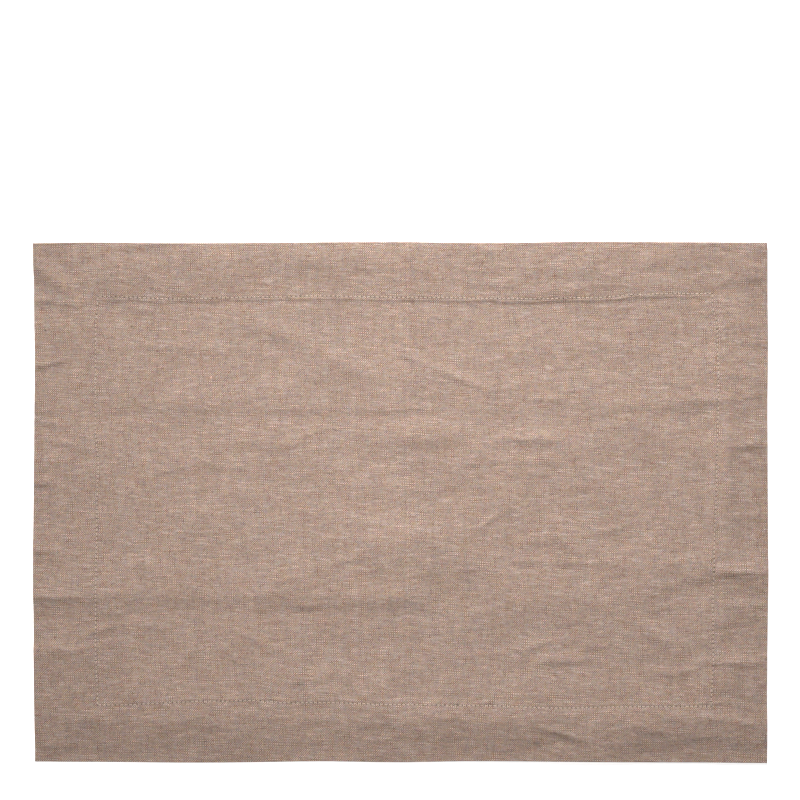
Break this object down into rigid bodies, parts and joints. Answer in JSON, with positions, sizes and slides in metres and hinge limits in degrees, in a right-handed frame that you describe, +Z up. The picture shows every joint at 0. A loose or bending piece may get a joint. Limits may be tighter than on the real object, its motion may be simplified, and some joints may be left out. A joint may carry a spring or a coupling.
{
  "type": "fabric placemat",
  "caption": "Flat rectangular linen placemat with a wide stitched hem and soft creases where it was folded.",
  "frame": {"origin": "on the surface that the placemat lies on, under the middle of its box", "axes": "+X along the long side, +Y along the short side and away from the diner, +Z up out of the face"},
  "size_m": [0.501, 0.3552, 0.0039],
  "materials": {
    "linen": "matt plain-weave linen, taupe with a pinkish cast, slubby and softly creased"
  },
  "bodies": {
    "root": {"placemat_cloth": "linen"}
  },
  "joints": []
}
